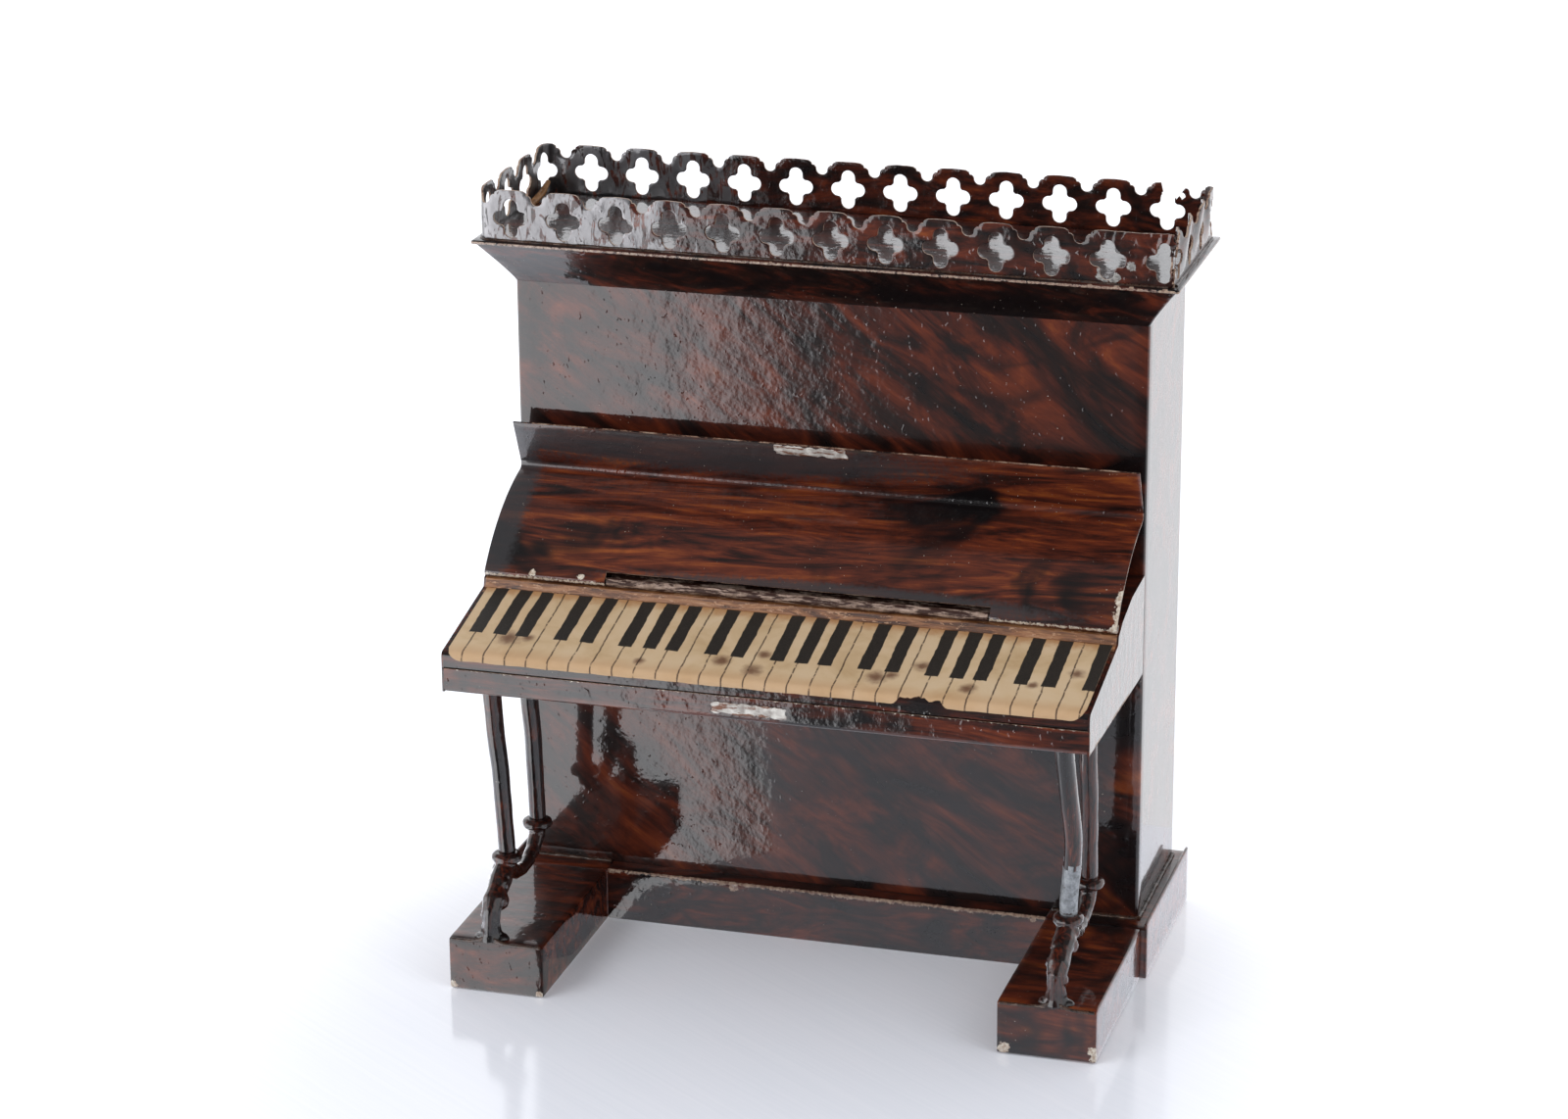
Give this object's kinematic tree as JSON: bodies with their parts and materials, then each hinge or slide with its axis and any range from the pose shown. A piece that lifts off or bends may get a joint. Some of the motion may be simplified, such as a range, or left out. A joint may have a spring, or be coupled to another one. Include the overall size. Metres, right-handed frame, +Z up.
{
  "type": "dolls' house upright piano",
  "caption": "Miniature upright piano of painted tinplate with a hinged fall, printed keyboard, scroll legs and a pierced gallery round its cornice.",
  "frame": {"origin": "bottom centre of the whole piano's box, on the surface it stands on", "axes": "+Z up; +X to the right of a player facing the keyboard; -Y from the case towards the player"},
  "size_m": [0.1218, 0.0732, 0.132],
  "materials": {
    "painted_tin": "tinplate painted to imitate rosewood, under thick glossy varnish worn at the edges",
    "painted_casting": "cast soft metal under dark glossy varnish",
    "printed_paper": "yellowed printed paper, varnished, with brown stains",
    "old_solder": "rough grey-white remains of solder",
    "hinge_wire": "dull iron wire"
  },
  "bodies": {
    "case": {"case_wrap": "painted_tin", "case_back": "painted_tin", "case_bottom": "painted_tin", "cornice_cove": "painted_tin", "cornice_top": "painted_tin", "gallery_strip": "painted_tin", "keybed_top": "painted_tin", "keybed_tray": "painted_tin", "cheek_left": "painted_tin", "cheek_right": "painted_tin", "keyboard_paper": "printed_paper", "rail_catch_solder": "old_solder", "hinge_leaf": "painted_tin", "hinge_pin": "hinge_wire", "column_front_left": "painted_casting", "column_front_right": "painted_casting", "column_rear_left": "painted_casting", "column_rear_right": "painted_casting", "scroll_bracket_left": "painted_casting", "scroll_bracket_right": "painted_casting", "foot_front_left": "painted_tin", "foot_front_right": "painted_tin", "foot_rear_left": "painted_tin", "foot_rear_right": "painted_tin", "foot_sole_front_left": "painted_tin", "foot_sole_front_right": "painted_tin", "foot_sole_rear_left": "painted_tin", "foot_sole_rear_right": "painted_tin", "base_rail": "painted_tin"},
    "fall": {"fall": "painted_tin", "fall_catch_solder": "old_solder"}
  },
  "joints": [
    {"name": "fall_hinge", "type": "hinge", "parent": "case", "child": "fall", "pos_m": [0, -0.01478, 0.0692], "axis": [1, 0, 0], "range_deg": [0, 157]}
  ]
}
